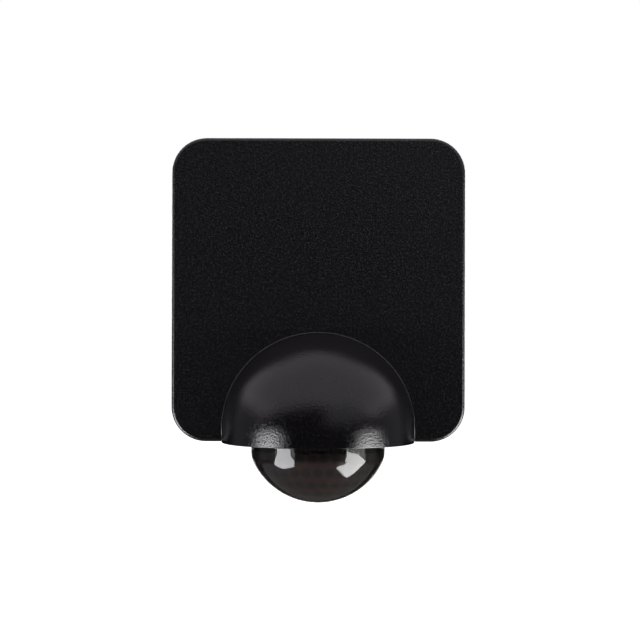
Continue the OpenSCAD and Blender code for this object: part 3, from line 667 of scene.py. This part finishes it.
def fluted_grip(x, z, radius, front, back):
    """A ring of ridges round a knob's edge. The profile is (share of the ridge, how far inside the rim, y)."""
    profile = [
        (0, GRIP_ROOT, front), (0, GRIP_LIP, front), (1, 0, front + GRIP_SOFT), (1, 0, back - GRIP_SOFT),
        (0, GRIP_LIP, back), (0, GRIP_ROOT, back),
    ]
    steps = FLUTES * FLUTE_STEPS
    mesh = bmesh.new()
    rows = []
    for step in range(steps):
        angle = TAU * step / steps
        ridge = FLUTE_DEPTH * (FLUTE_MEAN + (1 - FLUTE_MEAN) * math.cos(FLUTES * angle))
        row = []
        for share, inside, y in profile:
            out = radius - inside + share * ridge
            row.append(mesh.verts.new((x + out * math.sin(angle), y, z + out * math.cos(angle))))
        rows.append(row)
    skin(mesh, rows + rows[:1])
    return as_data(mesh, "fluted_grip")


TICKS = 11
TICK_SWEEP_DEG = 270
TICK_LENGTH = 0.5 * MM
END_TICK_LENGTH = 0.75 * MM
TICK_HALF_W = 0.14 * MM
TICK_GAP = 0.55 * MM
# Each layer's y from the deck, and its width as a share of the tick's. The length changes a tenth as much.
TICK_LAYERS = ((0.05 * MM, 1.15), (-0.06 * MM, 1.0), (-0.12 * MM, 0.7))
TICK_CORNERS = ((-1, -1), (1, -1), (1, 1), (-1, 1))


def dial_ticks(centres, radius):
    """Raised scale lines on the deck round each knob, with sloped sides and longer ones at both ends."""
    mesh = bmesh.new()
    for x, z in centres:
        for tick in range(TICKS):
            angle = math.radians(TICK_SWEEP_DEG * (tick / (TICKS - 1) - 0.5))
            out = Vector((math.sin(angle), 0, math.cos(angle)))
            side = Vector((out.z, 0, -out.x))
            length = END_TICK_LENGTH if tick in (0, TICKS - 1) else TICK_LENGTH
            middle = Vector((x, DECK_Y, z)) + out * (radius + TICK_GAP + length / 2)
            layers = []
            for y, grow in TICK_LAYERS:
                half = side * TICK_HALF_W * grow
                reach = out * length / 2 * (0.9 + 0.1 * grow)
                layers.append([
                    mesh.verts.new(middle + Vector((0, y, 0)) + a * half + b * reach) for a, b in TICK_CORNERS
                ])
            skin(mesh, layers)
            mesh.faces.new(layers[0])
            mesh.faces.new(layers[-1])
    return as_data(mesh, "dial_ticks")


knob_centres = []
for knob in ("time_knob", "twilight_knob", "range_knob"):
    low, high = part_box(knob)
    middle = (low + high) / 2
    knob_r = (high.x - low.x) / 2
    knob_centres.append((middle.x, middle.z))
    grip = fluted_grip(
        middle.x, middle.z, knob_r, low.y + GRIP_FRONT_INSET, DECK_Y - KNOB_LIFT - GRIP_BACK_INSET,
    )
    make_piece(knob + "_grip", grip, finishes["pale_plastic"], knob, "pale_plastic")
make_piece(
    "dial_ticks", dial_ticks(knob_centres, knob_r), finishes["pale_plastic"], "sensor_module", "pale_plastic",
)

# ---------------------------------------------------------------- floor and light

FLOOR_DROP = 0.14
FLOOR_SIZE = 9.0
FLOOR_SEGMENTS = 24
SUBJECT = Vector((0, LENS_Y, DOME_Z))


def make_floor():
    """A pale floor that the camera sees as plain white. It lights nothing and shows in no reflection."""
    mesh = bmesh.new()
    bmesh.ops.create_grid(mesh, x_segments=FLOOR_SEGMENTS, y_segments=FLOOR_SEGMENTS, size=FLOOR_SIZE / 2)
    data = bpy.data.meshes.new("floor")
    mesh.to_mesh(data)
    mesh.free()
    floor = bpy.data.objects.new("floor", data)
    scene.collection.objects.link(floor)
    floor.location.z = cad_box[0].z - FLOOR_DROP
    shader = Shader("floor", (0.93, 0.93, 0.93), 0.9, Specular_IOR_Level=0.1)
    shader.color(shader.blend(shader.noise(0.3, 3), (0.92, 0.92, 0.92), (0.95, 0.95, 0.95)))
    shader.set(shader.bsdf, "Emission Color", (1, 1, 1, 1))
    shader.set(shader.bsdf, "Emission Strength", 1.0)
    data.materials.append(shader.material)
    for ray in ("visible_glossy", "visible_diffuse", "visible_transmission"):
        setattr(floor, ray, False)


def direction(azimuth, elevation):
    """Azimuth 0 points to the camera and 90 to the right, as seen in the picture."""
    a, e = math.radians(azimuth), math.radians(elevation)
    return Vector((math.sin(a) * math.cos(e), -math.cos(a) * math.cos(e), math.sin(e)))


STEEP_DEG = 89


def softbox(name, azimuth, elevation, distance, outline, radiance, color=(1, 1, 1), fade=None):
    """A glowing panel that faces the dome. The outline's corners are across and up, in shares of the distance. Only
    its light and its reflections show. fade is (near, far, share): the glow goes to that share of the radiance between
    the distances near and far from the middle."""
    toward = direction(azimuth, elevation)
    across = Vector((1, 0, 0))
    if abs(elevation) < STEEP_DEG:
        across = Vector((0, 0, 1)).cross(toward).normalized()
    up = toward.cross(across)
    corners = [SUBJECT + distance * (toward + u * across + v * up) for u, v in outline]
    data = bpy.data.meshes.new(name)
    data.from_pydata(corners, [], [range(len(corners))])
    shader = Shader(name, (0, 0, 0), 1.0)
    strength = radiance
    if fade:
        near, far, share = fade
        strength = shader.spread(shader.distance_from_middle(), radiance, radiance * share, near, far)
    shader.set(shader.bsdf, "Emission Color", (*color, 1))
    shader.set(shader.bsdf, "Emission Strength", strength)
    data.materials.append(shader.material)
    panel = bpy.data.objects.new(name, data)
    scene.collection.objects.link(panel)
    panel.visible_camera = False
    panel.visible_shadow = False


def rectangle(left, right, low, high):
    return [(left, low), (right, low), (right, high), (left, high)]


LEFT_OUTLINE = [
    (0.36, 0.43), (-0.13, 0.43), (-0.27, 0.06), (-0.42, -0.2), (-0.34, -0.34), (-0.2, -0.41), (0.18, -0.41),
    (0.25, -0.24), (0.4, 0),
]
RIGHT_OUTLINE = [
    (-0.44, 0.46), (0.03, 0.46), (0.36, 0.12), (0.38, -0.21), (0.27, -0.59), (-0.32, -0.51), (-0.26, -0.05),
    (-0.4, 0.08),
]
WALL_OUTLINE = rectangle(-0.35, 0.35, -0.4, 0.5)
REAR_OUTLINE = rectangle(-0.26, 0.26, -0.4, 0.4)
WARM = (1, 0.97, 1.03)

make_floor()
softbox("left_box", -66, -27, 0.9, LEFT_OUTLINE, 14.5, (0.98, 0.98, 1.02))
softbox("right_box", 72, -30, 0.9, RIGHT_OUTLINE, 17)
softbox("overhead", 0, 90, 0.8, rectangle(-4.2, 4.2, -1.75, 1.2), 0.9, (1, 0.95, 1.03), (1.4, 2.8, 1.7))
softbox("bounce", 0, -90, 1.7, rectangle(-1.6, 1.6, -1.4, 1.4), 0.24)
softbox("front_right", 27, 20, 1.6, rectangle(-0.3, 0.45, -0.2, 0.35), 0.5, WARM)
softbox("left_wall", -100, 4, 2.5, WALL_OUTLINE, 0.2, WARM)
softbox("right_wall", 100, 4, 2.5, WALL_OUTLINE, 0.25, WARM)
softbox("rear_left", -155, 22, 1.4, REAR_OUTLINE, 6)
softbox("rear_right", 155, 22, 1.4, REAR_OUTLINE, 6)

# The world is white behind the object and lights nothing
world = bpy.data.worlds.new("world")
scene.world = world
world.use_nodes = True
background = world.node_tree.nodes["Background"]
background.inputs["Color"].default_value = (1, 1, 1, 1)
background.inputs["Strength"].default_value = 1.0
for ray in ("diffuse", "glossy", "transmission", "scatter"):
    setattr(world.cycles_visibility, ray, False)
scene.view_settings.view_transform = "Standard"
